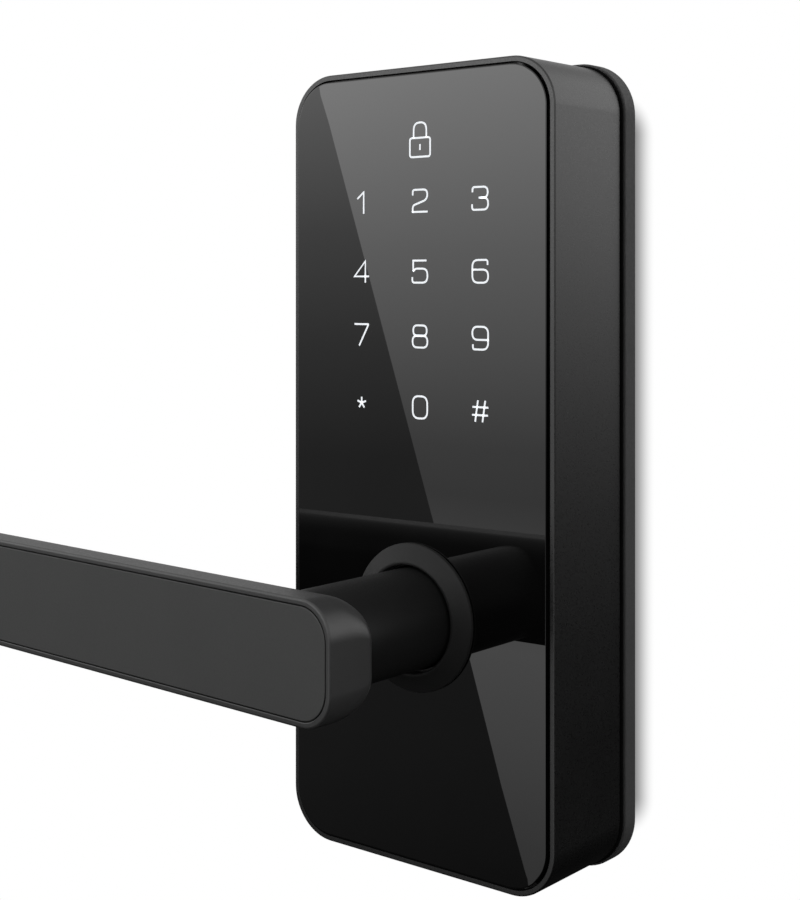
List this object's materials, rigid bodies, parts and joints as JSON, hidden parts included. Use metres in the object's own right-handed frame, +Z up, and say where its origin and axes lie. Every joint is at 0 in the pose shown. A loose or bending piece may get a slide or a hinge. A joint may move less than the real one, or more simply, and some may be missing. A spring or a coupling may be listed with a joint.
{
  "type": "keypad smart lock",
  "caption": "Slim upright door escutcheon with a black glass touch keypad and a flat horizontal lever on a round neck, outside unit with clutch, spindle and fixing posts.",
  "frame": {"origin": "spindle axis where it meets the door face, at the back of the door gasket", "axes": "+X to the right seen from outside, +Y into the door along the spindle, +Z up"},
  "size_m": [0.1458, 0.1066, 0.1616],
  "materials": {
    "coat": "satin black powder coat on zinc alloy",
    "inlay": "fine matt black coat",
    "glass": "black back-printed toughened glass, polished",
    "zinc": "bare zinc alloy casting, satin",
    "steel": "zinc-plated steel",
    "rubber": "black closed-cell rubber, matt",
    "adhesive": "black foam tape",
    "plastic": "black moulded nylon",
    "board": "green solder mask",
    "diffuser": "milky white moulding",
    "flex": "amber polyimide film",
    "acetal": "black acetal"
  },
  "bodies": {
    "escutcheon": {"door_gasket": "rubber", "back_plate": "coat", "housing_seal": "rubber", "cable_grommet": "rubber", "post_left": "steel", "post_right": "steel", "post_top": "steel", "front_housing": "coat", "touch_glass": "glass", "glass_adhesive": "adhesive", "light_guide": "diffuser", "touch_board": "board", "board_carrier": "plastic", "carrier_screw_1": "steel", "carrier_screw_2": "steel", "carrier_screw_3": "steel", "carrier_screw_4": "steel", "flex_ribbon": "flex", "control_board": "board", "board_screw_1": "steel", "board_screw_2": "steel", "buzzer": "plastic", "cable_socket": "diffuser", "emergency_port": "steel", "housing_screw_1": "steel", "housing_screw_2": "steel", "housing_screw_3": "steel", "housing_screw_4": "steel", "ring_bezel": "coat", "ring_nut": "zinc", "neck_bushing": "acetal", "thrust_washer": "steel", "return_spring": "steel", "spring_cassette": "zinc", "cassette_screw_1": "steel", "cassette_screw_2": "steel", "clutch_motor": "steel", "motor_cradle": "plastic"},
    "lever": {"lever_handle": "coat", "lever_inlay": "inlay", "grub_screw": "steel", "retaining_clip": "steel", "drive_hub": "zinc"},
    "clutch_pin": {"clutch_pin": "steel"},
    "spindle": {"spindle_hub": "zinc", "spindle": "steel"},
    "clutch_cam": {"clutch_cam": "plastic"},
    "clutch_shoe": {"clutch_shoe": "plastic"}
  },
  "joints": [
    {"name": "lever_turn", "type": "hinge", "parent": "escutcheon", "child": "lever", "pos_m": [0, -0.04, 0], "axis": [0, -1, 0], "range_deg": [0, 50], "stiffness_Nm_per_rad": 1, "springref_deg": -34.38, "deforming": ["return_spring"]},
    {"name": "spindle_turn", "type": "hinge", "parent": "escutcheon", "child": "spindle", "pos_m": [0, 0, 0], "axis": [0, -1, 0], "range_deg": [0, 50]},
    {"name": "clutch_shoe_lift", "type": "slide", "parent": "escutcheon", "child": "clutch_shoe", "axis": [0, 0, 1], "range_m": [0, 0.0022]},
    {"name": "clutch_cam_turn", "type": "hinge", "parent": "escutcheon", "child": "clutch_cam", "pos_m": [0, -0.012, 0.031], "axis": [0, -1, 0], "range_deg": [0, 180]},
    {"name": "clutch_pin_release", "type": "slide", "parent": "lever", "child": "clutch_pin", "axis": [0, 0, 1], "range_m": [0, 0.0015]}
  ],
  "couplings": [
    {"joint": "spindle_turn", "follows": "lever_turn", "ratio": 1},
    {"joint": "clutch_cam_turn", "follows": "clutch_shoe_lift", "rad_per_m": 1427.5},
    {"joint": "clutch_pin_release", "follows": "clutch_shoe_lift", "ratio": 0.68}
  ]
}
